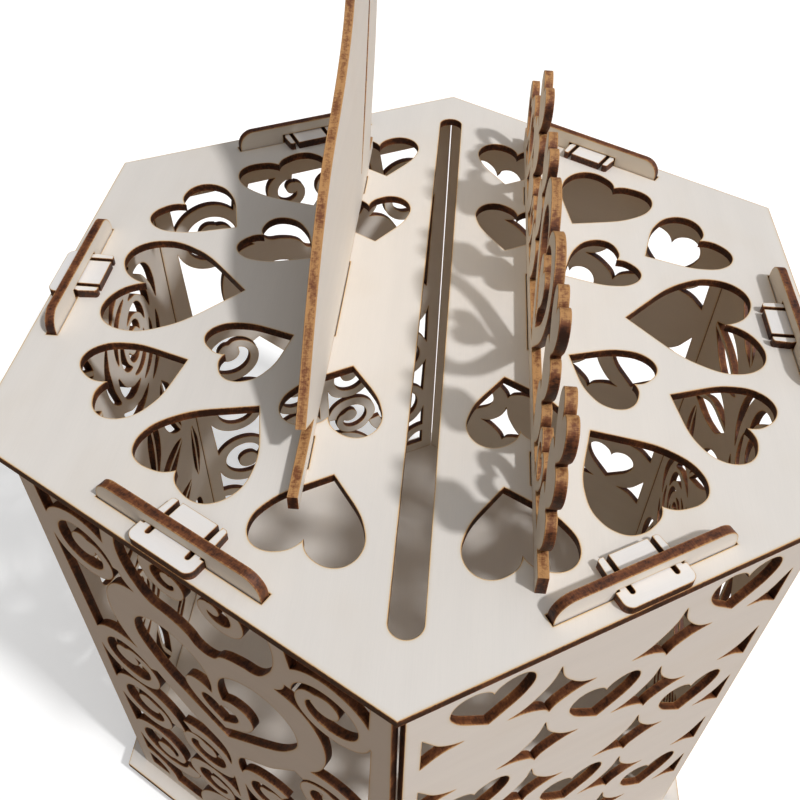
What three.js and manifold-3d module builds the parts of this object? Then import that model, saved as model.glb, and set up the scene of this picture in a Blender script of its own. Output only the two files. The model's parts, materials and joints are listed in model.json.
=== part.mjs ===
// Hexagonal wedding card box, laser-cut from plywood sheet and put together without glue.
// Six fretwork panels stand between a base and a lid. Each panel has a tab through the lid and
// a tab through the base, and a flat snap key through the window of each tab locks the sheets.
// Two upright toppers plug into the lid, one on each side of the card slot.
// Millimetres, +Z up, +Y along the card slot, origin on the floor under the centre of the lid.

import * as THREE from "three";
import { mergeVertices } from "three/addons/utils/BufferGeometryUtils.js";
import Module from "manifold-3d";

const wasm = await Module();
wasm.setup();

// ---------- driving dimensions ----------
const PLY = 3; // thickness of every sheet
const FIT = 0.3; // clearance on each side of a tab, slot or key
const REST_GAP = 0.1; // clearance between sheets that stand on one another
const CURVE_STEPS = 3; // straight segments in one curved stretch of an outline

const LID_RADIUS = 150; // centre to corner, so 300 across corners and 260 across flats
const LID_TOP = 240; // floor to the lid's upper face
const TAB_RISE = 7.4; // how far a tab stands out past the lid or the base
const TAB_LENGTH = 58.5;
const TAB_ROUND = 6; // corner radius at a tab's outer end

const PANEL_FACE = 123.8; // box axis to a panel's outer face
const PANEL_WIDTH = 139.1;
const SIDE_ANGLES = [0, 60, 120, 180, 240, 300];

const SLOT_WIDTH = 9.2; // card slot
const SLOT_LENGTH = 258;

const KEY_HEAD_WIDTH = 22.6;
const KEY_NECK_WIDTH = 20; // where the key passes through the tab
const KEY_BARB_WIDTH = 20.8; // widest place of the two snap prongs
const KEY_HEAD_DEPTH = 6; // in front of the panel's outer face
const KEY_REACH = 7.3; // behind the panel's inner face
const KEY_SLIT = 1.5; // slit between the tongue and each prong
const KEY_SLIT_CENTRE = 7.1;
const KEY_SLIT_RUN = 2.4; // how far a slit runs into the head
const KEY_ROUND = 2.6;
const KEY_LEAD = 0.4; // how far a prong narrows towards its tip
const KEY_TIP_CUT = 0.8; // corner taken off a prong's tip

const TOPPER_OFFSET = 33.5; // card slot's centre line to a topper's mid-plane
const TOPPER_TABS = [
  [-71.2, 12],
  [0, 40],
  [71.2, 12],
]; // centre and length of each tab along the slot

// ---------- derived levels and sizes ----------
const LID_UNDER = LID_TOP - PLY;
const BASE_UNDER = TAB_RISE;
const BASE_TOP = BASE_UNDER + PLY;
const PANEL_TOP = LID_UNDER - REST_GAP;
const PANEL_BOTTOM = BASE_TOP + REST_GAP;
const PANEL_INNER = PANEL_FACE - PLY;
const WINDOW_WIDTH = KEY_BARB_WIDTH + 2 * FIT;
const WINDOW_HEIGHT = PLY + 2 * FIT;
const BORDER = 6.8; // solid margin round a scroll or rose panel
const FIELD = PANEL_WIDTH / 2 - BORDER; // half the width inside the margins

const BIRCH = { color: 0xe6dfd2, roughness: 0.72, metalness: 0 };
const PALE_BIRCH = { color: 0xeeeae2, roughness: 0.68, metalness: 0 };

const radians = THREE.MathUtils.degToRad;

// ---------- outlines, plates and unions ----------
function polygon(points, Kind = THREE.Shape) {
  return new Kind(points.map(([x, y]) => new THREE.Vector2(x, y)));
}

// The path as straight segments, counter-clockwise, without points that repeat where two
// stretches meet.
function flattened(path, steps, Kind) {
  const points = path.getPoints(steps);
  if (THREE.ShapeUtils.isClockWise(points)) points.reverse();
  const least = 1e-3;
  return new Kind(points.filter((p, i) => p.distanceTo(points.at(i - 1)) > least));
}

function plate(outline, holes = [], steps = CURVE_STEPS) {
  const shape = flattened(outline, steps, THREE.Shape);
  shape.holes = [...outline.holes, ...holes].map((hole) => flattened(hole, steps, THREE.Path));
  return new THREE.ExtrudeGeometry(shape, { depth: PLY, bevelEnabled: false });
}

function rectangle(x0, y0, x1, y1, Kind = THREE.Shape) {
  return polygon([[x0, y0], [x1, y0], [x1, y1], [x0, y1]], Kind);
}

function disc(x, y, radius, Kind = THREE.Shape) {
  const sides = radius > 15 ? 20 : 9;
  const corner = (i) => (i / sides) * 2 * Math.PI;
  const points = Array.from({ length: sides }, (_, i) => [
    x + radius * Math.cos(corner(i)),
    y + radius * Math.sin(corner(i)),
  ]);
  return polygon(points, Kind);
}

function regularHexagon(radius) {
  return polygon(SIDE_ANGLES.map((side) => {
    const corner = radians(side + 30);
    return [radius * Math.cos(corner), radius * Math.sin(corner)];
  }));
}

// A rectangle with its long sides square to the direction `angle`, `distance` from the axis.
function radialSlot(angle, distance, length, width) {
  const out = new THREE.Vector2(Math.cos(angle), Math.sin(angle));
  const along = new THREE.Vector2(-out.y, out.x);
  const corner = (side, depth) => [
    out.x * (distance + depth * width) + along.x * side * length,
    out.y * (distance + depth * width) + along.y * side * length,
  ];
  const half = 0.5;
  const corners = [[-half, -half], [half, -half], [half, half], [-half, half]];
  return polygon(corners.map(([side, depth]) => corner(side, depth)), THREE.Path);
}

// A heart standing on its tip at (x, y), its lobes `length` away in the direction `angle`.
// `notch` is the share of the length at which the lobes meet.
function heart({ x, y, angle = Math.PI / 2, length, width, notch = 0.77 }, Kind = THREE.Path) {
  const up = new THREE.Vector2(Math.cos(angle), Math.sin(angle));
  const at = (side, rise) => [
    x + up.y * side * width + up.x * rise * length,
    y - up.x * side * width + up.y * rise * length,
  ];
  const shoulder = notch + 0.73 * (1 - notch);
  const path = new Kind();
  path.moveTo(...at(0, notch));
  path.bezierCurveTo(...at(0.03, shoulder), ...at(0.19, 1), ...at(0.275, 1));
  path.bezierCurveTo(...at(0.4, 1), ...at(0.5, 0.89), ...at(0.5, 0.72));
  path.bezierCurveTo(...at(0.5, 0.46), ...at(0.22, 0.22), ...at(0, 0));
  path.bezierCurveTo(...at(-0.22, 0.22), ...at(-0.5, 0.46), ...at(-0.5, 0.72));
  path.bezierCurveTo(...at(-0.5, 0.89), ...at(-0.4, 1), ...at(-0.275, 1));
  path.bezierCurveTo(...at(-0.19, 1), ...at(-0.03, shoulder), ...at(0, notch));
  return path;
}

// The closed outline of a ribbon: `centre(t)` is its middle line and `half(t)` half its width.
function ribbon(centre, half, steps, Kind = THREE.Shape) {
  const left = [];
  const right = [];
  const nudge = 1e-3;
  for (let i = 0; i <= steps; i++) {
    const t = i / steps;
    const [x, y] = centre(t);
    const [x0, y0] = centre(t - nudge);
    const [x1, y1] = centre(t + nudge);
    const reach = half(t) / Math.hypot(x1 - x0, y1 - y0);
    left.push([x - (y1 - y0) * reach, y + (x1 - x0) * reach]);
    right.unshift([x + (y1 - y0) * reach, y - (x1 - x0) * reach]);
  }
  return polygon([...left, ...right], Kind);
}

// A scroll that winds from `radius` in to a round eye. Angles are in degrees.
function scroll({ x, y, radius, start, sweep, thick = 3.2, thin = 1.8, eye = 0.34, coil = 0.62 }) {
  const spiral = (t) => {
    const turn = radians(start + sweep * t);
    const r = radius * (1 - coil * t * t);
    return [x + r * Math.cos(turn), y + r * Math.sin(turn)];
  };
  const steps = Math.round(Math.abs(sweep) / 38);
  const [ex, ey] = spiral(1);
  const eyeRadius = radius * eye;
  const middle = 0.55;
  return [
    ribbon(spiral, (t) => thick + (thin - thick) * t, steps),
    disc(x + (ex - x) * middle, y + (ey - y) * middle, eyeRadius),
  ];
}

// A plain arc of constant width. Angles are in degrees.
function arc(x, y, radius, from, to, half) {
  const point = (t) => {
    const turn = radians(from + (to - from) * t);
    return [x + radius * Math.cos(turn), y + radius * Math.sin(turn)];
  };
  return ribbon(point, () => half, Math.ceil(Math.abs(to - from) / 26));
}

function toSolid(geometry) {
  const bare = geometry.clone();
  bare.deleteAttribute("normal");
  bare.deleteAttribute("uv");
  const merged = mergeVertices(bare, 1e-4);
  return new wasm.Manifold(new wasm.Mesh({
    numProp: 3,
    vertProperties: merged.attributes.position.array,
    triVerts: Uint32Array.from(merged.index.array),
  }));
}

function toGeometry(solid) {
  const mesh = solid.getMesh();
  const geometry = new THREE.BufferGeometry();
  geometry.setAttribute("position", new THREE.BufferAttribute(mesh.vertProperties, 3));
  geometry.setIndex(new THREE.BufferAttribute(mesh.triVerts, 1));
  geometry.computeVertexNormals();
  return geometry;
}

// Joins flat shapes into one plate, then trims it to `limit` when one is given.
function joinedPlate(shapes, limit = null) {
  const solids = shapes.map((shape) => toSolid(plate(shape)));
  const whole = solids.reduce((sum, next) => sum.add(next));
  return limit ? whole.intersect(limit) : whole;
}

function mirrored(list) {
  return list.flatMap((item) => [item, { ...item, x: -item.x, start: 180 - item.start, sweep: -item.sweep }]);
}

// ---------- side panels ----------
function panelOutline() {
  const w = PANEL_WIDTH / 2;
  const t = TAB_LENGTH / 2;
  const inset = t - TAB_ROUND;
  const top = LID_TOP + TAB_RISE;
  const quarter = Math.PI / 2;
  const shape = new THREE.Shape();
  shape.moveTo(-w, PANEL_BOTTOM);
  shape.lineTo(-t, PANEL_BOTTOM);
  shape.lineTo(-t, TAB_ROUND);
  shape.absarc(-inset, TAB_ROUND, TAB_ROUND, 2 * quarter, 3 * quarter);
  shape.absarc(inset, TAB_ROUND, TAB_ROUND, 3 * quarter, 4 * quarter);
  shape.lineTo(t, PANEL_BOTTOM);
  shape.lineTo(w, PANEL_BOTTOM);
  shape.lineTo(w, PANEL_TOP);
  shape.lineTo(t, PANEL_TOP);
  shape.absarc(inset, top - TAB_ROUND, TAB_ROUND, 0, quarter);
  shape.absarc(-inset, top - TAB_ROUND, TAB_ROUND, quarter, 2 * quarter);
  shape.lineTo(-t, PANEL_TOP);
  shape.lineTo(-w, PANEL_TOP);
  return shape;
}

// The windows that the keys pass through, in the top tab and in the bottom tab.
function keyWindows() {
  const w = WINDOW_WIDTH / 2;
  const low = LID_TOP - FIT;
  return [
    rectangle(-w, low, w, low + WINDOW_HEIGHT, THREE.Path),
    rectangle(-w, BASE_UNDER + FIT - WINDOW_HEIGHT, w, BASE_UNDER + FIT, THREE.Path),
  ];
}

// Rows of four-pointed stars with hearts between them. Rows are given as depths below the lid.
const STAR_ROWS = 5;
const STAR_FIRST = 46.5;
const STAR_PITCH = 34.6;
const STAR_X = 21.6;
const STAR_HALF_WIDTH = 15;
const STAR_UP = 18.8;
const STAR_DOWN = 8.3;
const HALF_STAR_X = 66;
const HALF_STAR_CUT = 64.3;
const HEART_TIP_FIRST = 42.8;
const HEART_X = 43.4;

function star(cx, cy, cut = Infinity) {
  const points = [];
  const perQuarter = 4;
  for (let i = 0; i < 4 * perQuarter; i++) {
    const turn = (i / perQuarter) * (Math.PI / 2);
    const c = Math.cos(turn);
    const s = Math.sin(turn);
    const x = cx + STAR_HALF_WIDTH * c ** 3;
    const y = cy + (s > 0 ? STAR_UP : STAR_DOWN) * s ** 3;
    if (Math.abs(x) < cut) points.push([x, y]);
  }
  return points;
}

// The inner part of a star whose outer point is cut off square near the panel's edge.
function halfStar(side, cy) {
  const inner = star(side * HALF_STAR_X, cy, HALF_STAR_CUT);
  const centre = inner.reduce((sum, p) => sum + p[1], 0) / inner.length;
  const run = (HALF_STAR_X - HALF_STAR_CUT) / STAR_HALF_WIDTH;
  const share = (1 - run ** (2 / 3)) ** 1.5;
  const x = side * HALF_STAR_CUT;
  const all = [...inner, [x, cy + STAR_UP * share], [x, cy - STAR_DOWN * share]];
  const bearing = (p) => Math.atan2(p[1] - centre, p[0] - side * (HALF_STAR_CUT - 3));
  return polygon(all.sort((a, b) => bearing(a) - bearing(b)), THREE.Path);
}

function starPanel() {
  const holes = keyWindows();
  for (let row = 0; row < STAR_ROWS; row++) {
    const y = LID_TOP - STAR_FIRST - row * STAR_PITCH;
    for (const side of [-1, 1]) {
      holes.push(polygon(star(side * STAR_X, y), THREE.Path));
      holes.push(halfStar(side, y));
    }
  }
  for (let row = 0; row <= STAR_ROWS; row++) {
    const y = LID_TOP - HEART_TIP_FIRST - row * STAR_PITCH;
    const places = row % 2 ? [0] : [-HEART_X, HEART_X];
    for (const x of places) holes.push(heart({ x, y, length: 22.5, width: 26 }));
  }
  return plate(panelOutline(), holes);
}

// A margin filled with scrolls, a garland and hearts that run into one another and the margin.
// Places are given as depths below the lid.
function scrollPanel() {
  const depth = (below) => LID_TOP - below;
  const fieldTop = depth(16);
  const fieldBottom = PANEL_BOTTOM + BORDER;
  const frame = panelOutline();
  frame.holes.push(rectangle(-FIELD, fieldBottom, FIELD, fieldTop, THREE.Path));
  frame.holes.push(...keyWindows());

  const bigHeart = heart({ x: 0, y: depth(134), length: 88, width: 92, notch: 0.84 }, THREE.Shape);
  bigHeart.holes.push(heart({ x: 0, y: depth(115), length: 56, width: 69, notch: 0.64 }));
  const smallHeart = heart({ x: 0, y: depth(108), length: 26, width: 30 }, THREE.Shape);
  smallHeart.holes.push(heart({ x: 0, y: depth(102.5), length: 14, width: 16 }));
  const links = [
    arc(0, depth(26), 33, 158, 382, 3.2), // garland below the lid
    arc(0, fieldBottom, 29.5, -5, 185, 3.4), // arch on the bottom margin
    arc(FIELD, fieldBottom, 13, 85, 187, 2.8), // quarter rings in the bottom corners
    arc(-FIELD, fieldBottom, 13, -7, 95, 2.8),
    rectangle(-2.5, depth(88.4), 2.5, depth(68)), // hangs the small heart from the big one
    rectangle(-2.8, fieldBottom - 2, 2.8, depth(128)), // stem below the big heart
  ];
  const scrolls = mirrored([
    { x: 9.5, y: depth(24), radius: 8.5, start: 100, sweep: -330, thick: 2.6 },
    { x: 47.5, y: depth(40), radius: 15.3, start: 178, sweep: -440, thick: 3.2 },
    { x: 46, y: depth(110), radius: 16.2, start: 150, sweep: -450, thick: 3.5 },
    { x: 17, y: depth(149), radius: 14, start: 60, sweep: 420, thick: 3.4 },
    { x: 46.8, y: depth(147), radius: 16.4, start: 178, sweep: -430, thick: 3.8 },
    { x: 46.6, y: depth(184.5), radius: 16.4, start: 190, sweep: 430, thick: 3.5 },
    { x: 16.5, y: depth(181), radius: 13, start: 170, sweep: -410, thick: 3.2 },
  ]).flatMap(scroll);
  const limit = toSolid(plate(rectangle(-PANEL_WIDTH / 2, 0, PANEL_WIDTH / 2, LID_TOP + TAB_RISE)));
  return toGeometry(joinedPlate([frame, bigHeart, smallHeart, ...links, ...scrolls], limit));
}

// The rings of petals in a rose, as shares of its radius. The gaps in a ring are the edges of its
// petals. Each gap winds outwards, so that one petal seems to tuck behind the next.
const PETAL_RINGS = [
  { radius: 0.13, count: 2, width: 0.1, phase: 20 },
  { radius: 0.34, count: 3, width: 0.12, phase: 75 },
  { radius: 0.58, count: 4, width: 0.13, phase: 10 },
  { radius: 0.85, count: 5, width: 0.16, phase: 48 },
];

function petalGap(rose, ring, from) {
  const sweep = (360 / ring.count) * 0.86;
  const winding = 0.1; // how far out a gap winds, as a share of the rose's radius
  const point = (t) => {
    const turn = radians(from + sweep * t);
    const r = rose.size * (ring.radius + winding * t + ring.width * 0.3 * Math.sin(Math.PI * t));
    return [rose.x + r * Math.cos(turn), rose.y + r * Math.sin(turn)];
  };
  const least = 0.3;
  const half = (t) => least + (ring.width / 2) * rose.size * Math.sin(Math.PI * t);
  return ribbon(point, half, 4, THREE.Path);
}

function petalGaps(rose) {
  return PETAL_RINGS.flatMap((ring) => Array.from({ length: ring.count }, (_, k) => (
    petalGap(rose, ring, ring.phase + (k * 360) / ring.count)
  )));
}

// Two half-leaf openings beside a curved midrib. The leaf springs from (x, y) at `angle` and its
// midrib bows sideways by `bow` times the length.
function leaf([x, y, angle, length, width, bow = 0.08]) {
  const c = Math.cos(radians(angle));
  const s = Math.sin(radians(angle));
  const rib = 1.1;
  const blade = (side) => {
    const at = (run, off) => {
      const across = side * (rib + off * width) + 4 * bow * length * run * (1 - run);
      return [x + c * run * length - s * across, y + s * run * length + c * across];
    };
    return polygon([
      at(0.05, 0),
      at(0.22, 0.32),
      at(0.47, 0.46),
      at(0.75, 0.32),
      at(1, 0),
      at(0.7, 0),
      at(0.35, 0),
    ], THREE.Path);
  };
  return [blade(1), blade(-1)];
}

const ROSES = [
  { x: -24, y: 190, size: 32 },
  { x: 33, y: 92, size: 28 },
  { x: -34, y: 41, size: 21 },
];

// Leaves as [x, y, angle, length, width, bow], angles in degrees.
const LEAVES = [
  [13, 207, 27, 44, 16],
  [15, 190, -1, 47, 18, 0.05],
  [12, 173, -25, 50, 18],
  [0, 161, -50, 48, 17, 0.06],
  [-18, 151, -78, 38, 14, -0.06],
  [-39, 154, -103, 44, 17],
  [-49, 215, 132, 16, 8],
  [43, 125, 70, 25, 11, -0.08],
  [-1, 98, 171, 46, 16, -0.08],
  [-2, 84, 194, 46, 15],
  [9, 67, 234, 29, 12],
  [28, 57, 264, 34, 15],
  [51, 62, -82, 39, 13],
  [-10, 31, -18, 25, 10],
  [-58, 64, 96, 34, 9, 0.03],
];

function rosePanel() {
  const holes = [...keyWindows(), ...ROSES.flatMap(petalGaps), ...LEAVES.flatMap(leaf)];
  return plate(panelOutline(), holes);
}

// One entry for each of SIDE_ANGLES. The front is the -Y end of the card slot.
const SIDES = [
  { place: "right", pattern: "rose", design: rosePanel },
  { place: "back_right", pattern: "stars", design: starPanel },
  { place: "back_left", pattern: "scroll", design: scrollPanel },
  { place: "left", pattern: "rose", design: rosePanel },
  { place: "front_left", pattern: "scroll", design: scrollPanel },
  { place: "front_right", pattern: "stars", design: starPanel },
];

// ---------- lid and base ----------
// Hearts in one quarter of the lid, as shares of LID_RADIUS. Each points at the card slot.
const QUARTER_HEARTS = [
  { x: 0.3345, y: 0.3625, angle: 56.1, length: 0.2495, width: 0.247, notch: 0.87 },
  { x: 0.51, y: 0.243, angle: 29.2, length: 0.207, width: 0.23, notch: 0.8 },
  { x: 0.302, y: 0.142, angle: 29.7, length: 0.181, width: 0.19, notch: 0.85 },
  { x: 0.161, y: 0.526, angle: 77.5, length: 0.198, width: 0.214, notch: 0.777 },
  { x: 0.161, y: 0.226, angle: 78.2, length: 0.194, width: 0.21, notch: 0.79 },
];
const SIDE_HEART = { x: 0.4385, y: 0, angle: 0, length: 0.301, width: 0.33, notch: 0.76 };

function lidHeart({ x, y, angle, length, width, notch }, sx, sy) {
  const up = radians(angle);
  return heart({
    x: sx * x * LID_RADIUS,
    y: sy * y * LID_RADIUS,
    angle: Math.atan2(sy * Math.sin(up), sx * Math.cos(up)),
    length: length * LID_RADIUS,
    width: width * LID_RADIUS,
    notch,
  });
}

function tabSlots() {
  const distance = PANEL_FACE - PLY / 2;
  return SIDE_ANGLES.map((side) => radialSlot(radians(side), distance, TAB_LENGTH + 2 * FIT, PLY + 2 * FIT));
}

function cardSlot() {
  const r = SLOT_WIDTH / 2;
  const end = SLOT_LENGTH / 2 - r;
  const path = new THREE.Path();
  path.absarc(0, end, r, 0, Math.PI);
  path.absarc(0, -end, r, Math.PI, 2 * Math.PI);
  return path;
}

function lid() {
  const holes = [...tabSlots(), cardSlot()];
  for (const sx of [-1, 1]) {
    holes.push(lidHeart(SIDE_HEART, sx, 1));
    for (const sy of [-1, 1]) {
      for (const one of QUARTER_HEARTS) holes.push(lidHeart(one, sx, sy));
    }
    const half = PLY / 2 + FIT;
    for (const [centre, length] of TOPPER_TABS) {
      const x = sx * TOPPER_OFFSET;
      const y0 = centre - length / 2 - FIT;
      holes.push(rectangle(x - half, y0, x + half, y0 + length + 2 * FIT, THREE.Path));
    }
  }
  return plate(regularHexagon(LID_RADIUS), holes);
}

function base() {
  return plate(regularHexagon(LID_RADIUS), tabSlots());
}

// ---------- snap keys ----------
// x runs along the panel; y runs outwards, from 0 on the panel's outer face.
function snapKey() {
  const head = KEY_HEAD_WIDTH / 2;
  const neck = KEY_NECK_WIDTH / 2;
  const barb = KEY_BARB_WIDTH / 2;
  const tip = -PLY - KEY_REACH;
  const barbStart = -PLY - FIT;
  const barbFull = barbStart - 1;
  const roundCentre = KEY_HEAD_DEPTH - KEY_ROUND;
  const right = [
    [barb - KEY_LEAD - KEY_TIP_CUT, tip],
    [barb - KEY_LEAD, tip + KEY_TIP_CUT],
    [barb, barbFull],
    [neck, barbStart],
    [neck, FIT],
    [head, FIT],
  ];
  const left = right.map(([x, y]) => [-x, y]).reverse();
  const shape = new THREE.Shape();
  shape.moveTo(head - KEY_ROUND, KEY_HEAD_DEPTH);
  shape.absarc(KEY_ROUND - head, roundCentre, KEY_ROUND, Math.PI / 2, Math.PI);
  for (const [x, y] of left) shape.lineTo(x, y);
  for (const centre of [-KEY_SLIT_CENTRE, KEY_SLIT_CENTRE]) {
    shape.lineTo(centre - KEY_SLIT / 2, tip);
    shape.absarc(centre, KEY_SLIT_RUN - KEY_SLIT / 2, KEY_SLIT / 2, Math.PI, 0, true);
    shape.lineTo(centre + KEY_SLIT / 2, tip);
  }
  for (const [x, y] of right) shape.lineTo(x, y);
  shape.absarc(head - KEY_ROUND, roundCentre, KEY_ROUND, 0, Math.PI / 2);
  return plate(shape);
}

// ---------- toppers ----------
// Drawn as seen from +X: x runs along the slot (+Y of the box) and y is height above the lid.
function topperFoot(from, to, height) {
  const points = [[from, 0]];
  for (const [centre, length] of TOPPER_TABS) {
    const a = centre - length / 2;
    points.push([a, 0], [a, -PLY], [a + length, -PLY], [a + length, 0]);
  }
  points.push([to, 0], [to, height], [from, height]);
  return polygon(points);
}

// Fretwork topper: columns of stacked hearts and open hearts between them, all on a foot bar.
const COLUMN_TOP = 57;
const COLUMN_HEART = 20; // length of each heart in a column
const COLUMN_PITCH = 17;
const COLUMN_STEM = 6; // width of the stem that joins a column's hearts
const COLUMNS = [
  { centre: -101, width: 17 },
  { centre: -64, width: 17.5 },
  { centre: 12.5, width: 19 },
  { centre: 53, width: 24 },
]; // centre along the slot and width of each column's hearts

function fretworkTopper() {
  const end = 113;
  const barHeight = 7;
  const topTip = COLUMN_TOP - COLUMN_HEART;
  const column = ({ centre, width }) => {
    const half = COLUMN_STEM / 2;
    const tips = [0, 1, 2].map((below) => topTip - below * COLUMN_PITCH);
    const hearts = tips.map((y) => heart({ x: centre, y, length: COLUMN_HEART, width }, THREE.Shape));
    return [rectangle(centre - half, barHeight / 2, centre + half, topTip + COLUMN_HEART / 2), ...hearts];
  };
  const openHeart = (x, y, width) => {
    const shape = heart({ x, y, length: width * 1.1, width }, THREE.Shape);
    shape.holes.push(heart({ x, y: y + width * 0.28, length: width * 0.62, width: width * 0.6 }));
    return shape;
  };
  const bigX = -25;
  const bigHeart = heart({ x: bigX, y: 5, length: COLUMN_TOP - 5, width: 52 }, THREE.Shape);
  bigHeart.holes.push(heart({ x: bigX, y: 14, length: 36, width: 39 }));
  return toGeometry(joinedPlate([
    topperFoot(-end, end, barHeight),
    ...COLUMNS.flatMap(column),
    bigHeart,
    rectangle(bigX - 1.8, 10, bigX + 1.8, 25), // stem inside the big heart
    heart({ x: bigX, y: 21, length: 17, width: 17 }, THREE.Shape),
    openHeart(-82.5, 4, 17.5),
    openHeart(31.5, 4, 16.5),
    openHeart(77, 2, 30),
    openHeart(99.5, 2, 26),
  ]));
}

// Couple topper: a plain solid outline of two standing figures, the long train at the front end.
function coupleTopper() {
  const shape = new THREE.Shape();
  shape.moveTo(100, 0);
  shape.lineTo(100, 5);
  shape.lineTo(89, 5);
  shape.bezierCurveTo(92, 14, 104, 26, 112, 40);
  shape.bezierCurveTo(120, 54, 124, 74, 123, 92);
  shape.bezierCurveTo(123, 102, 119, 108, 111, 111);
  shape.lineTo(110.5, 114.5);
  shape.bezierCurveTo(117, 118, 118, 131, 108.5, 134);
  shape.bezierCurveTo(99, 136, 94.5, 127, 97.5, 118.5);
  shape.lineTo(100, 113);
  shape.lineTo(93.5, 106);
  shape.lineTo(88.5, 106.5);
  shape.lineTo(89, 110);
  shape.bezierCurveTo(94, 116, 92, 126, 83, 127);
  shape.bezierCurveTo(73, 127.5, 68, 117, 64, 106);
  shape.bezierCurveTo(58, 92, 52, 84, 45, 78);
  shape.bezierCurveTo(36, 71, 24, 67, 12, 63.5);
  shape.bezierCurveTo(-6, 60, -24, 53, -40, 41.5);
  shape.bezierCurveTo(-54, 32, -63, 22, -75, 13.5);
  shape.lineTo(-63, 5);
  shape.lineTo(-92, 5);
  shape.lineTo(-92, 0);
  for (const [centre, length] of TOPPER_TABS) {
    const a = centre - length / 2;
    shape.lineTo(a, 0);
    shape.lineTo(a, -PLY);
    shape.lineTo(a + length, -PLY);
    shape.lineTo(a + length, 0);
  }
  const gap = (t) => [60 + 42 * t - 6 * t * t, 12 + 62 * t];
  const slit = ribbon(gap, (t) => 0.5 + 1.6 * Math.sin(Math.PI * t) ** 0.7, 6, THREE.Path);
  return plate(shape, [slit]);
}

// ---------- assembly ----------
const box = new THREE.Group();

function addMesh(parent, name, geometry, finish = BIRCH) {
  const mesh = new THREE.Mesh(geometry, new THREE.MeshStandardMaterial(finish));
  mesh.name = name;
  parent.add(mesh);
  return mesh;
}

addMesh(box, "lid", lid()).position.z = LID_UNDER;
addMesh(box, "base", base()).position.z = BASE_UNDER;

SIDE_ANGLES.forEach((side, i) => {
  const wall = new THREE.Group();
  wall.rotation.z = radians(side + 90);
  box.add(wall);
  const { place, pattern, design } = SIDES[i];
  const panel = addMesh(wall, `panel_${place}_${pattern}`, design());
  panel.rotation.x = Math.PI / 2;
  panel.position.y = -PANEL_INNER;
  for (const [level, z] of [["top", LID_TOP], ["bottom", BASE_UNDER - PLY]]) {
    const key = addMesh(wall, `key_${level}_${place}`, snapKey(), PALE_BIRCH);
    key.rotation.z = Math.PI;
    key.position.set(0, -PANEL_FACE, z);
  }
});

for (const [name, geometry, x] of [
  ["topper_right_fretwork", fretworkTopper(), TOPPER_OFFSET],
  ["topper_left_couple", coupleTopper(), -TOPPER_OFFSET],
]) {
  const stand = new THREE.Group();
  stand.rotation.z = Math.PI / 2;
  stand.position.set(x - PLY / 2, 0, LID_TOP);
  box.add(stand);
  addMesh(stand, name, geometry).rotation.x = Math.PI / 2;
}

export default box;
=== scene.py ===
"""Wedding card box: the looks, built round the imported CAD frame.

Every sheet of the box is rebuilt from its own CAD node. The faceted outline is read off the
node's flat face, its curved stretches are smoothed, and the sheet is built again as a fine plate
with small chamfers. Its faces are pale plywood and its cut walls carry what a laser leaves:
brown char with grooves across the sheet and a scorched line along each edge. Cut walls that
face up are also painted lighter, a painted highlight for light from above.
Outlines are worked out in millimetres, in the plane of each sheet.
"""

import json
import math

import bpy
import numpy as np
from mathutils import Matrix, Vector
from mathutils.geometry import delaunay_2d_cdt
from mathutils.kdtree import KDTree


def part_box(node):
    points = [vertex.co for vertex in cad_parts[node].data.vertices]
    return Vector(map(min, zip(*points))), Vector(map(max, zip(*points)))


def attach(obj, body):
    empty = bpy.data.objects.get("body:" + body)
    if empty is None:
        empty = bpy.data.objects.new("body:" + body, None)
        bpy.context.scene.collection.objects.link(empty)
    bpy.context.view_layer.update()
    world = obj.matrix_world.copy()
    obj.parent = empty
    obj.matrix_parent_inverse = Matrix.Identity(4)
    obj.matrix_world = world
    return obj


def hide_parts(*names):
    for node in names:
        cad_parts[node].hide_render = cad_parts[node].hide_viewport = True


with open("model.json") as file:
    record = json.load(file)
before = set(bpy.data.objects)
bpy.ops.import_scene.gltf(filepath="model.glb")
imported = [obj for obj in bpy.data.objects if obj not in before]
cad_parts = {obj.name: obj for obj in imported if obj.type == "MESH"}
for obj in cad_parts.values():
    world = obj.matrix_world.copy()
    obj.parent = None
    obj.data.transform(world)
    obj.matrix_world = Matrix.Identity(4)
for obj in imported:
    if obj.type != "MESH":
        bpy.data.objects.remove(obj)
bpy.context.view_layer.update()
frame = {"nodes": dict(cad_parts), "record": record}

MM = 0.001
PLY = 3.0  # thickness of every sheet
X, Y, Z = np.eye(3)

# ---------- outlines ----------
THIN = 3.5  # a side of a node's box below this is the sheet's thickness
WELD = 0.01  # points this close are one point
SHORT = 0.25  # a facet shorter than this is dropped
CORNER_TURN = math.radians(65)  # an outline that turns more than this has a real corner
TINY = 1.6  # unless both facets are shorter than this, as at the end of a slit
LONG = 30.0  # two facets longer than this also meet at a real corner
SPIKE_TURN = math.radians(163)  # an outline that turns more than this runs into a thin sliver
GENTLE_TURN = math.radians(20)
LONG_RATIO = 4.0  # a facet this much longer than its neighbour is a straight stretch
FINE_STEP = 1.2  # longest stretch between two points of a fine outline
FINE_TURN = math.radians(7)  # most that a fine outline turns from point to point
MITRE = 0.25  # keeps the step inwards short where an outline nearly doubles back


def sheet_axes(name):
    """Unit vectors along, up and across a sheet, and the distance of its mid-plane from the origin."""
    low, high = (np.array(corner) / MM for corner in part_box(name))
    centre = (low + high) / 2
    outward = np.array([centre[0], centre[1], 0.0])
    length = np.linalg.norm(outward)
    if high[2] - low[2] < THIN:
        across = Z
        up = outward / length if name.startswith("key") else Y
    else:
        across = X if name.startswith("topper") else outward / length
        up = Z
    return np.cross(up, across), up, across, centre @ across


def design_of(name):
    """Sheets of one design share an outline: six panels have three designs, twelve keys have one."""
    words = name.split("_")
    return words[0] if words[0] == "key" else words[-1]


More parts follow.
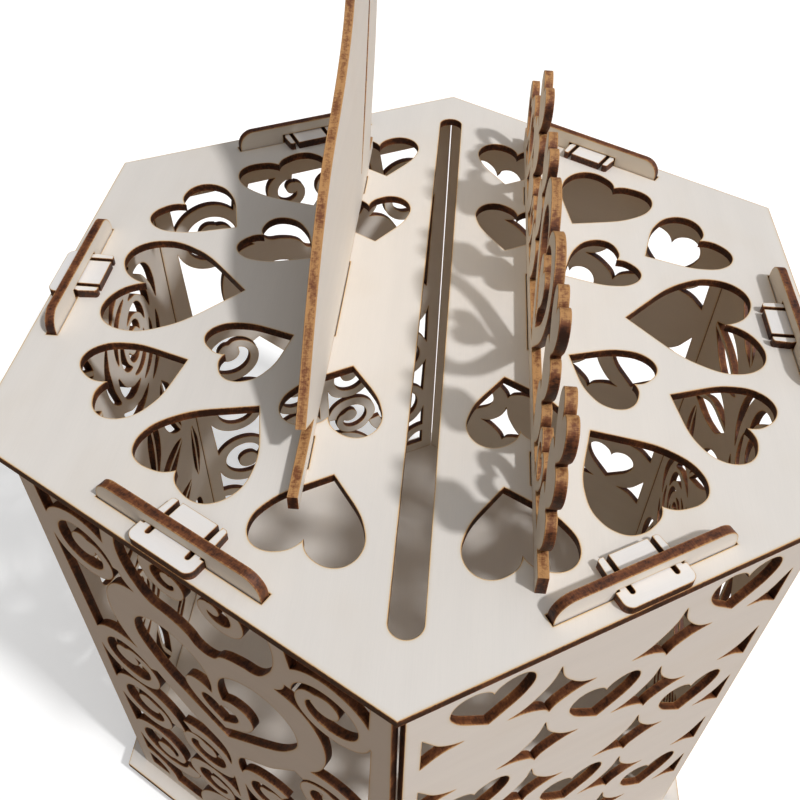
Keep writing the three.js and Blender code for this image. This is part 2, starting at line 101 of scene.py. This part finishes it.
def face_loops(name):
    """The closed outlines of a sheet's upper face, with the material on their left."""
    along, up, across, middle = sheet_axes(name)
    mesh = frame["nodes"][name].data
    points = np.empty(len(mesh.vertices) * 3, np.float32)
    mesh.vertices.foreach_get("co", points)
    points = points.reshape(-1, 3).astype(float) / MM
    flat = np.stack([points @ along, points @ up], axis=1)
    cells = np.round(flat / WELD).astype(int)
    _, first, ids = np.unique(cells, axis=0, return_index=True, return_inverse=True)
    flat_points = flat[first]
    mesh.calc_loop_triangles()
    corners = np.empty(len(mesh.loop_triangles) * 3, np.int32)
    mesh.loop_triangles.foreach_get("vertices", corners)
    corners = corners.reshape(-1, 3)
    upper = (points @ across > middle)[corners].all(axis=1)
    edges = set()
    for a, b, c in ids.ravel()[corners[upper]]:
        edges.update([(a, b), (b, c), (c, a)])
    following = {a: b for a, b in edges if a != b and (b, a) not in edges}
    loops = []
    while following:
        start = min(following)
        loop, at = [start], following.pop(start)
        while at != start:
            loop.append(at)
            at = following.pop(at)
        loops.append(flat_points[loop])
    return loops


def without_short_facets(loop):
    kept = [loop[0]]
    for point in loop[1:]:
        if np.hypot(*(point - kept[-1])) > SHORT:
            kept.append(point)
    if np.hypot(*(kept[0] - kept[-1])) < SHORT:
        kept.pop()
    return np.array(kept)


def unit(vectors):
    return vectors / np.linalg.norm(vectors, axis=-1, keepdims=True)


def angle_between(a, b):
    return np.arccos(np.clip((a * b).sum(axis=-1), -1, 1))


def without_slivers(loop):
    """Takes the tip off each sliver, until none is so thin that its two sides could cross."""
    while True:
        way = unit(np.roll(loop, -1, axis=0) - loop)
        turn = angle_between(np.roll(way, 1, axis=0), way)
        tip = int(turn.argmax())
        if turn[tip] < SPIKE_TURN:
            return loop
        loop = without_short_facets(np.delete(loop, tip, axis=0))


def smoothed(loop):
    """A fine copy of a faceted outline. Corners stay, and facets between them become one curve."""
    loop = without_slivers(without_short_facets(loop))
    step = np.roll(loop, -1, axis=0) - loop
    length = np.hypot(*step.T)
    way = unit(step)
    last_way, last_length = np.roll(way, 1, axis=0), np.roll(length, 1)
    turn = angle_between(last_way, way)
    shorter, longer = np.minimum(length, last_length), np.maximum(length, last_length)
    sharp = ((turn > CORNER_TURN) & (longer > TINY)) | ((turn > GENTLE_TURN / 4) & (shorter > LONG))

    # The tangent of the circle through a point and its two neighbours, except beside a straight.
    tangent = unit(last_way * length[:, None] + way * last_length[:, None])
    gentle = turn < GENTLE_TURN
    after_straight = (last_length > LONG_RATIO * length) | (gentle & np.roll(sharp, 1))
    before_straight = (length > LONG_RATIO * last_length) | (gentle & np.roll(sharp, -1))
    tangent[after_straight] = last_way[after_straight]
    tangent[before_straight] = way[before_straight]

    pieces = []
    for i in range(len(loop)):
        j = (i + 1) % len(loop)
        leave, arrive = tangent[i], tangent[j]
        if sharp[i]:
            leave = way[i] if sharp[j] else 2 * (way[i] @ arrive) * way[i] - arrive
        if sharp[j]:
            arrive = way[i] if sharp[i] else 2 * (way[i] @ leave) * way[i] - leave
        bend = float(angle_between(leave, arrive))
        count = max(1, math.ceil(length[i] / FINE_STEP), math.ceil(bend / FINE_TURN))
        t = (np.arange(count) / count)[:, None]
        pull = length[i] / math.cos(bend / 4) ** 2
        pieces.append(
            (2 * t**3 - 3 * t**2 + 1) * loop[i]
            + (t**3 - 2 * t**2 + t) * pull * leave
            + (3 * t**2 - 2 * t**3) * loop[j]
            + (t**3 - t**2) * pull * arrive
        )
    return np.concatenate(pieces)


def inward(ring):
    """At each point of a ring, the step into the material that moves both sides in by one unit."""
    way = unit(np.roll(ring, -1, axis=0) - ring)
    normal = np.stack([-way[:, 1], way[:, 0]], axis=1)
    last = np.roll(normal, 1, axis=0)
    return (normal + last) / (1 + (normal * last).sum(axis=1)).clip(MITRE)[:, None]


# ---------- plates ----------
CHAMFER = 0.1
NARROW = 0.9  # where the outline comes back this close to itself, the chamfer may be smaller
DETOUR = 3.0  # it comes back where the way round is this many times the straight distance
NARROW_SHARE = 0.25  # a chamfer takes at most this share of the distance across
RIM_DEPTHS = (0.5, 1.2, 2.6)  # distances from the edge at which a face gets a row of points
ROW_GAP = 0.45  # least distance between two such points
ROW_CLEAR = 0.96  # share of its row's distance that a point must keep from every edge
RUN_GAP = 37.0  # sets the distances round one outline apart from those round the next
SHEET_GAP = 700.0  # sets the grain of one sheet apart from the next
SHARP_EDGE = math.radians(40)
INSIDE_WITH_HOLES = 2  # the output that delaunay_2d_cdt is asked for
CDT_EPSILON = 1e-6


def rim_points(rings):
    """Points inside the faces, in rows beside the edges. Returns places, edge distances and owners."""
    count = sum(len(ring) for ring in rings)
    edge_tree = KDTree(2 * count)
    for k, point in enumerate(np.concatenate(rings)):
        edge_tree.insert((*point, 0), k)
    halves = [(ring + np.roll(ring, -1, axis=0)) / 2 for ring in rings]
    for k, point in enumerate(np.concatenate(halves)):
        edge_tree.insert((*point, 0), count + k)
    edge_tree.balance()
    taken, places, depths, owners = set(), [], [], []
    steps = np.concatenate([inward(ring) for ring in rings])
    points = np.concatenate(rings)
    for depth in RIM_DEPTHS:
        for k, place in enumerate(points + unit(steps) * depth):
            cell = tuple(np.floor(place / max(ROW_GAP, depth / 2)).astype(int)) + (depth,)
            if cell in taken:
                continue
            _, _, nearest = edge_tree.find((*place, 0))
            if nearest < depth * ROW_CLEAR:
                continue
            taken.add(cell)
            places.append(place)
            depths.append(depth)
            owners.append(k)
    return np.array(places), np.array(depths), np.array(owners)


def chamfers(rings):
    """The chamfer at each point of the rings, smaller where another stretch of outline is near."""
    points = np.concatenate(rings)
    owner = np.concatenate([np.full(len(ring), k) for k, ring in enumerate(rings)])
    reach = [np.hypot(*(np.roll(ring, -1, axis=0) - ring).T) for ring in rings]
    along = np.concatenate([np.cumsum(one) for one in reach])
    round_trip = np.array([one.sum() for one in reach])
    tree = KDTree(len(points))
    for k, point in enumerate(points):
        tree.insert((*point, 0), k)
    tree.balance()
    sizes = np.full(len(points), CHAMFER)
    for k, point in enumerate(points):
        for _, other, distance in tree.find_range((*point, 0), NARROW):
            walk = abs(along[k] - along[other])
            walk = min(walk, round_trip[owner[k]] - walk)
            if owner[k] != owner[other] or walk > DETOUR * distance + CHAMFER:
                sizes[k] = min(sizes[k], NARROW_SHARE * distance)
    return sizes[:, None]


def build_plate(loops, limits):
    """One fine plate in its own plane: its points, faces and what the materials read from them."""
    low, high = limits
    rings = [np.clip(smoothed(loop), low, high) for loop in loops]
    edge = np.concatenate(rings)
    inset = edge + chamfers(rings) * np.concatenate([inward(ring) for ring in rings])
    places, depths, owners = rim_points(rings)

    starts = np.cumsum([0] + [len(ring) for ring in rings])
    after = np.arange(len(edge)) + 1
    for start, end in zip(starts, starts[1:]):
        after[end - 1] = start
    run = np.zeros(len(edge))
    closing = np.zeros(len(edge))
    for start, end in zip(starts, starts[1:]):
        reach = np.hypot(*(edge[after[start:end]] - edge[start:end]).T)
        along = RUN_GAP * start + np.concatenate([[0], np.cumsum(reach)])
        run[start:end] = along[:-1]
        closing[end - 1] = along[-1]

    outlines = [list(range(start, end)) for start, end in zip(starts, starts[1:])]
    face_points = np.concatenate([inset, places])
    given = [Vector(p) for p in face_points]
    result = delaunay_2d_cdt(given, [], outlines, INSIDE_WITH_HOLES, CDT_EPSILON)
    triangles, sources = result[2], result[3]
    crossings = sum(1 for s in sources if not s)
    if crossings:
        print("crossings in an outline:", crossings)
    triangles = np.array([[sources[k][0] for k in t] for t in triangles if all(sources[k] for k in t)])
    used = np.zeros(len(face_points), bool)
    used[triangles.ravel()] = True
    used[: len(edge)] = True
    renumbered = np.cumsum(used) - 1
    return {
        "edge": edge,
        "face": face_points[used],
        "triangles": renumbered[triangles],
        "after": after,
        "run": run,
        "closing": closing,
        "face_run": np.concatenate([run, run[owners]])[used],
        "face_rim": np.concatenate([np.zeros(len(edge)), depths])[used],
    }


plates = {}


def plate_of(name):
    design = design_of(name)
    if design not in plates:
        loops = face_loops(name)
        corners = np.concatenate(loops)
        plates[design] = build_plate(loops, (corners.min(axis=0), corners.max(axis=0)))
    return plates[design]


def add_attribute(mesh, name, kind, domain, values):
    attribute = mesh.attributes.new(name, kind, domain)
    field = "vector" if kind == "FLOAT_VECTOR" else "value"
    attribute.data.foreach_set(field, np.ascontiguousarray(values, np.float32).ravel())


def sheet_object(name, index, materials, grain_up, body):
    """Builds the fine sheet that stands for a CAD node, with the grain up it or along it."""
    plate = plate_of(name)
    along, up, across, middle = sheet_axes(name)
    half = PLY / 2
    face, edge, after = plate["face"], plate["edge"], plate["after"]
    nf, ne = len(face), len(edge)
    levels = [(face, half), (face, -half), (edge, half - CHAMFER), (edge, CHAMFER - half)]
    flat = np.concatenate([points for points, _ in levels])
    height = np.concatenate([np.full(len(points), level) for points, level in levels])
    world = (np.outer(flat[:, 0], along) + np.outer(flat[:, 1], up) + np.outer(middle + height, across)) * MM

    here = np.arange(ne)
    top, bottom, high_edge, low_edge = 0, nf, 2 * nf, 2 * nf + ne
    quads = [
        np.stack([low_row + here, low_row + after, high_row + after, high_row + here], axis=1)
        for high_row, low_row in ((top, high_edge), (high_edge, low_edge), (low_edge, bottom))
    ]
    quads = np.concatenate(quads)
    triangles = np.concatenate([plate["triangles"], plate["triangles"][:, ::-1] + bottom])

    corners = np.concatenate([triangles.ravel(), quads.ravel()])
    sides = np.concatenate([np.full(len(triangles), 3), np.full(len(quads), 4)])
    mesh = bpy.data.meshes.new(name)
    mesh.vertices.add(len(world))
    mesh.vertices.foreach_set("co", world.astype(np.float32).ravel())
    mesh.loops.add(len(corners))
    mesh.loops.foreach_set("vertex_index", corners.astype(np.int32))
    mesh.polygons.add(len(sides))
    mesh.polygons.foreach_set("loop_start", (np.cumsum(sides) - sides).astype(np.int32))
    mesh.polygons.foreach_set("loop_total", sides.astype(np.int32))
    mesh.polygons.foreach_set("material_index", (sides == 4).astype(np.int32))
    mesh.update(calc_edges=True)
    mesh.validate()
    mesh.shade_smooth()
    mesh.set_sharp_from_angle(angle=SHARP_EDGE)

    # Where each point lies in its sheet, how far it is from an edge, and how far round that edge.
    order = (1, 0) if grain_up else (0, 1)
    sheet = np.column_stack([flat[:, order[0]] + SHEET_GAP * index, flat[:, order[1]], height])
    add_attribute(mesh, "sheet", "FLOAT_VECTOR", "POINT", sheet)
    rim = np.concatenate([plate["face_rim"]] * 2 + [np.zeros(2 * ne)])
    add_attribute(mesh, "rim", "FLOAT", "POINT", rim)
    run = np.concatenate([plate["face_run"]] * 2 + [plate["run"]] * 2)[corners]
    wall_run = run[3 * len(triangles) :].reshape(3, ne, 4)
    last = plate["closing"] > 0
    wall_run[:, last, 1] = plate["closing"][last]
    wall_run[:, last, 2] = plate["closing"][last]
    depth = height[corners]
    cut = np.column_stack([run, depth, np.full(len(run), index)])
    add_attribute(mesh, "cut", "FLOAT_VECTOR", "CORNER", cut)

    piece = bpy.data.objects.new(name + "_sheet", mesh)
    bpy.context.scene.collection.objects.link(piece)
    for material in materials:
        mesh.materials.append(material)
    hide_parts(name)
    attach(piece, body)
    return piece


# ---------- node helpers ----------
class Tree:
    """A short way to write a material's nodes. Inputs may be numbers, colours or other sockets."""

    def __init__(self, owner):
        owner.use_nodes = True
        self.nodes = owner.node_tree.nodes
        self.links = owner.node_tree.links
        self.nodes.clear()

    def add(self, kind, inputs=(), **settings):
        node = self.nodes.new(kind)
        for key, value in settings.items():
            setattr(node, key, value)
        for key, value in dict(inputs).items():
            if isinstance(value, bpy.types.NodeSocket):
                self.links.new(value, node.inputs[key])
            else:
                node.inputs[key].default_value = value
        return node

    def math(self, operation, a, b=0.0, c=0.0):
        return self.add("ShaderNodeMath", {0: a, 1: b, 2: c}, operation=operation).outputs[0]

    def grey(self, value):
        return self.add("ShaderNodeCombineColor", {0: value, 1: value, 2: value}).outputs[0]

    def parts(self, vector):
        return self.add("ShaderNodeSeparateXYZ", {0: vector}).outputs

    def scaled(self, vector, scale):
        return self.add("ShaderNodeVectorMath", {0: vector, 1: scale}, operation="MULTIPLY").outputs[0]

    def noise(self, vector, scale=(1, 1, 1), detail=2.0, roughness=0.5):
        place = self.scaled(vector, scale)
        inputs = {"Vector": place, "Scale": 1.0, "Detail": detail, "Roughness": roughness}
        return self.add("ShaderNodeTexNoise", inputs).outputs["Fac"]

    def range(self, value, low, high, to_low=0.0, to_high=1.0, smooth=True):
        inputs = {"Value": value, "From Min": low, "From Max": high, "To Min": to_low, "To Max": to_high}
        kind = "SMOOTHSTEP" if smooth else "LINEAR"
        return self.add("ShaderNodeMapRange", inputs, interpolation_type=kind).outputs["Result"]

    def mix(self, factor, a, b, blend="MIX"):
        node = self.add("ShaderNodeMix", data_type="RGBA", blend_type=blend, clamp_factor=True)
        for key, value in ((0, factor), (6, a), (7, b)):
            if isinstance(value, bpy.types.NodeSocket):
                self.links.new(value, node.inputs[key])
            else:
                node.inputs[key].default_value = value
        return node.outputs[2]

    def attribute(self, name, output="Vector"):
        return self.add("ShaderNodeAttribute", attribute_name=name).outputs[output]

    def surface(self, colour, roughness, specular, **more):
        inputs = {"Base Color": colour, "Roughness": roughness, "Specular IOR Level": specular}
        shader = self.add("ShaderNodeBsdfPrincipled", inputs | more)
        output = self.add("ShaderNodeOutputMaterial")
        self.links.new(shader.outputs[0], output.inputs[0])


# ---------- materials ----------
SHEET = (0.800, 0.695, 0.550, 1.0)
KEY = (0.860, 0.770, 0.640, 1.0)
HONEY = (0.690, 0.550, 0.380, 1.0)  # warmer patches in the sheet
SCORCH = (0.700, 0.420, 0.150, 1.0)  # thin line that the laser leaves on a face
STAIN = (0.720, 0.560, 0.340, 1.0)  # smoke round that line
CHAR = (0.034, 0.0105, 0.0040, 1.0)
BROWN = (0.200, 0.062, 0.018, 1.0)
TAN = (0.520, 0.250, 0.080, 1.0)


def ply_face(name, colour, scorch):
    """Pale sanded plywood: soft bands, fine fibres and pores, and a scorched line at each edge."""
    material = bpy.data.materials.new(name)
    tree = Tree(material)
    sheet = tree.attribute("sheet")
    rim = tree.attribute("rim", "Fac")
    cut = tree.attribute("cut")

    bands = tree.noise(sheet, (0.009, 0.13, 0), 3)
    clouds = tree.noise(sheet, (0.03, 0.045, 0), 3)
    fibres = tree.noise(sheet, (0.07, 2.4, 0), 3, 0.6)
    pores = tree.range(tree.noise(sheet, (0.45, 5.5, 0), 2, 0.6), 0.64, 0.76)
    tone = tree.math("MULTIPLY_ADD", bands, 0.08, 0.91)
    tone = tree.math("MULTIPLY_ADD", clouds, 0.06, tone)
    tone = tree.math("MULTIPLY_ADD", fibres, 0.06, tone)
    tone = tree.math("MULTIPLY_ADD", pores, -0.06, tone)
    wood = tree.mix(1.0, colour, tree.grey(tone), "MULTIPLY")
    wood = tree.mix(tree.range(clouds, 0.45, 0.75, 0.0, 0.18), wood, HONEY)

    # The scorch reaches further in at some grooves than at others, so its inner side is ragged.
    comb = tree.noise(cut, (2.6, 0, 7.0), 3, 0.65)
    patches = tree.noise(cut, (0.09, 0, 3.0), 2)
    reach = tree.math("MULTIPLY_ADD", comb, 0.50, -0.02)
    reach = tree.math("MULTIPLY_ADD", patches, 0.55, reach)
    near = tree.math("DIVIDE", rim, tree.math("MULTIPLY", reach, scorch))
    line = tree.range(near, 0.15, 1.0, 0.85, 0.0)
    stain = tree.range(near, 0.4, 3.0, 0.30, 0.0)
    wood = tree.mix(stain, wood, STAIN)
    wood = tree.mix(line, wood, SCORCH)

    bump_height = tree.math("MULTIPLY_ADD", pores, -0.5, fibres)
    bump = tree.add("ShaderNodeBump", {"Strength": 0.18, "Distance": 0.00008, "Height": bump_height})
    roughness = tree.math("MULTIPLY_ADD", fibres, 0.16, 0.58)
    tree.surface(wood, roughness, 0.2, Normal=bump.outputs[0])
    return material


def ply_cut(name, light, up_highlight_paint):
    """A wall that a laser cut: char, brown and tan in patches, with grooves across the sheet.

    `light` is how lightly the wall is burnt, and `up_highlight_paint` how much lighter the wall is painted
    where it faces up, a painted highlight for light from above.
    """
    material = bpy.data.materials.new(name)
    tree = Tree(material)
    cut = tree.attribute("cut")
    depth = tree.math("ABSOLUTE", tree.parts(cut)[1])
    upward = tree.parts(tree.add("ShaderNodeNewGeometry").outputs["True Normal"])[2]

    grooves = tree.noise(cut, (3.2, 0.35, 7.0), 3, 0.7)
    flecks = tree.noise(cut, (0.9, 0.8, 5.0), 3, 0.65)
    patches = tree.noise(cut, (0.10, 0.12, 3.0), 3)
    burn = tree.math("MULTIPLY_ADD", grooves, 0.75, -0.375)
    burn = tree.math("MULTIPLY_ADD", flecks, 1.1, burn)
    burn = tree.math("MULTIPLY_ADD", patches, 1.3, burn)
    core = tree.range(depth, 0.35, 0.6, 0.10, 0.0)
    lip = tree.range(depth, 1.0, 1.45, 0.0, -0.45)
    # Painted highlight: walls that face up in the world are painted lighter, standing in for light from
    # above, not for a lighter burn.
    painted_up_highlight = tree.range(upward, 0.1, 0.9, 0.0, -up_highlight_paint)
    for change in (core, lip, painted_up_highlight, -light):
        burn = tree.math("ADD", burn, change)
    colour = tree.mix(tree.range(burn, 0.55, 1.05), TAN, BROWN)
    colour = tree.mix(tree.range(burn, 0.95, 1.6), colour, CHAR)

    bump = tree.add("ShaderNodeBump", {"Strength": 0.55, "Distance": 0.00012, "Height": grooves})
    roughness = tree.range(burn, 0.6, 1.4, 0.72, 0.5)
    tree.surface(colour, roughness, 0.3, Normal=bump.outputs[0])
    return material


sheet_face = ply_face("sheet_face", SHEET, 1.0)
key_face = ply_face("key_face", KEY, 0.45)
# The last number of each is the painted highlight on walls that face up, strongest on the toppers.
sheet_cut = ply_cut("sheet_cut", -0.22, 0.25)
topper_cut = ply_cut("topper_cut", -0.20, 0.68)

# ---------- the box ----------
body_of_node = {
    node: body for body, members in frame["record"]["behaviour"]["bodies"].items() for node in members
}
for index, name in enumerate(sorted(frame["nodes"])):
    is_key = name.startswith("key")
    is_topper = name.startswith("topper")
    materials = [key_face if is_key else sheet_face, topper_cut if is_topper else sheet_cut]
    grain_up = name in ("lid", "base")
    sheet_object(name, index, materials, grain_up, body_of_node[name])

# ---------- floor, light and camera ----------
FLOOR_HALF = 4.0
FLOOR_SEEN = (0.900, 0.830, 0.700, 1.0)  # what the camera sees, near white in the cool light
BACKDROP = (1.0, 1.0, 1.0, 1.0)  # what the camera sees past the floor
FLOOR_GLOW = 0.36  # added to that, as in an overexposed backdrop
FLOOR_GIVEN = (0.330, 0.215, 0.125, 1.0)  # what the box is lit by
COOL = (0.925, 1.005, 1.190)
SUN_STRENGTH = 2.05
SUN_AZIMUTH = math.radians(-31)
SUN_ELEVATION = math.radians(51)
SKY_LOW = 0.06  # strength of the sky on the side away from the window
SKY_RISE = 0.76  # how much stronger it is towards the window
WINDOW_WAY = (0.62, -0.20, 0.76)  # unit vector
SUN_SPREAD = math.radians(4)  # how wide the sun is, which softens its shadows
CAMERA_PLACE = (0.0047, -0.2401, 0.1969)  # from the centre of the lid's upper face
CAMERA_DOWN = math.radians(45.84)
CAMERA_HEADING = math.radians(0.86)
CAMERA_ROLL = math.radians(3.56)


def add_floor():
    mesh = bpy.data.meshes.new("floor")
    corners = [(-1, -1), (1, -1), (1, 1), (-1, 1)]
    mesh.from_pydata([(x * FLOOR_HALF, y * FLOOR_HALF, 0) for x, y in corners], [], [(0, 1, 2, 3)])
    floor = bpy.data.objects.new("floor", mesh)
    bpy.context.scene.collection.objects.link(floor)
    material = bpy.data.materials.new("floor")
    tree = Tree(material)
    seen = tree.add("ShaderNodeLightPath").outputs["Is Camera Ray"]
    colour = tree.mix(seen, FLOOR_GIVEN, FLOOR_SEEN)
    glow = tree.math("MULTIPLY", seen, FLOOR_GLOW)
    tree.surface(colour, 0.8, 0.0, **{"Emission Color": (1, 1, 1, 1), "Emission Strength": glow})
    mesh.materials.append(material)


def add_sun():
    sun = bpy.data.lights.new("sun", "SUN")
    sun.energy = SUN_STRENGTH
    sun.angle = SUN_SPREAD
    sun.color = COOL
    lamp = bpy.data.objects.new("sun", sun)
    level = math.cos(SUN_ELEVATION)
    towards = Vector(
        (math.cos(SUN_AZIMUTH) * level, math.sin(SUN_AZIMUTH) * level, math.sin(SUN_ELEVATION))
    )
    lamp.rotation_mode = "QUATERNION"
    lamp.rotation_quaternion = towards.to_track_quat("Z", "Y")
    bpy.context.scene.collection.objects.link(lamp)


def add_sky():
    """A soft sky, stronger towards a wide window high on the right. The camera sees it as white."""
    world = bpy.data.worlds.new("sky")
    tree = Tree(world)
    way = tree.add("ShaderNodeTexCoord").outputs["Generated"]
    toward = tree.add("ShaderNodeVectorMath", {0: way, 1: WINDOW_WAY}, operation="DOT_PRODUCT")
    strength = tree.range(toward.outputs["Value"], 0.0, 1.0, SKY_LOW, SKY_LOW + SKY_RISE, smooth=False)
    seen = tree.add("ShaderNodeLightPath").outputs["Is Camera Ray"]
    colour = tree.mix(seen, (*COOL, 1.0), BACKDROP)
    strength = tree.mix(seen, tree.grey(strength), BACKDROP)
    background = tree.add("ShaderNodeBackground", {"Color": colour, "Strength": strength})
    output = tree.add("ShaderNodeOutputWorld")
    tree.links.new(background.outputs[0], output.inputs[0])
    bpy.context.scene.world = world


def add_camera():
    data = bpy.data.cameras.new("camera")
    data.sensor_width = 36.0
    data.lens = 40.33
    data.shift_x = -0.0396
    data.shift_y = 0.0070
    data.clip_start = 0.01
    camera = bpy.data.objects.new("camera", data)
    turn = Matrix.Rotation(CAMERA_HEADING, 4, "Z")
    turn = turn @ Matrix.Rotation(math.pi / 2 - CAMERA_DOWN, 4, "X")
    turn = turn @ Matrix.Rotation(CAMERA_ROLL, 4, "Z")
    x, y, above = CAMERA_PLACE
    lid_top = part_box("lid")[1].z
    camera.matrix_world = Matrix.Translation((x, y, lid_top + above)) @ turn
    bpy.context.scene.collection.objects.link(camera)
    bpy.context.scene.camera = camera


add_floor()
add_sun()
add_sky()
add_camera()
bpy.context.scene.view_settings.view_transform = "Standard"
